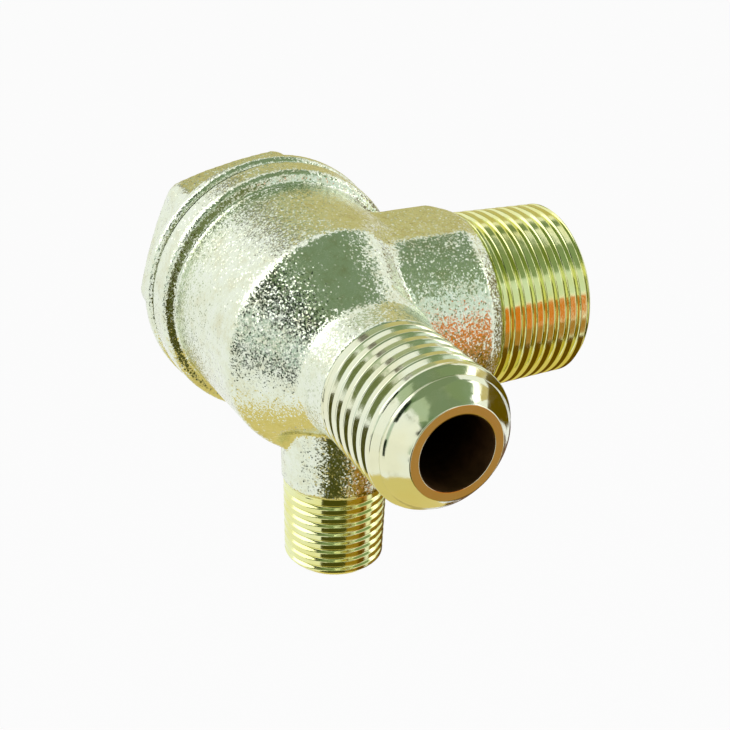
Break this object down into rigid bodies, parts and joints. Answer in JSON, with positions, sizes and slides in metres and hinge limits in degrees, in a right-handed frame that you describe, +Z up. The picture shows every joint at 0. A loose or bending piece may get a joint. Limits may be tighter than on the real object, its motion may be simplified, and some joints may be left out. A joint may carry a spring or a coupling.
{
  "type": "air compressor non-return valve",
  "caption": "Angled non-return valve with a flared inlet port, a larger threaded outlet port with wrench flats, a small unloader port and a sprung poppet under a screwed cap.",
  "frame": {"origin": "on the tank thread's axis, at the plane where the taper thread is tight by hand", "axes": "+Y out of the tank port, +X out of the flared inlet port, +Z up and away from the unloader port"},
  "size_m": [0.0553, 0.0458, 0.0426],
  "materials": {
    "casting": "shot-blasted casting with pale gold plating, bright on the machined threads and nose",
    "cap": "pale gold plating",
    "seal": "matt",
    "poppet": "turned",
    "pad": "matt",
    "spring": "drawn wire"
  },
  "bodies": {
    "valve": {"valve_body": "casting", "end_cap": "cap", "cap_seal": "seal", "spring": "spring"},
    "poppet": {"poppet": "poppet", "seat_pad": "pad"}
  },
  "joints": [
    {"name": "poppet_slide", "type": "slide", "parent": "valve", "child": "poppet", "axis": [-1, 0, 0], "range_m": [0, 0.0035], "stiffness_N_per_m": 200, "springref_m": -0.002, "deforming": ["spring"]}
  ]
}
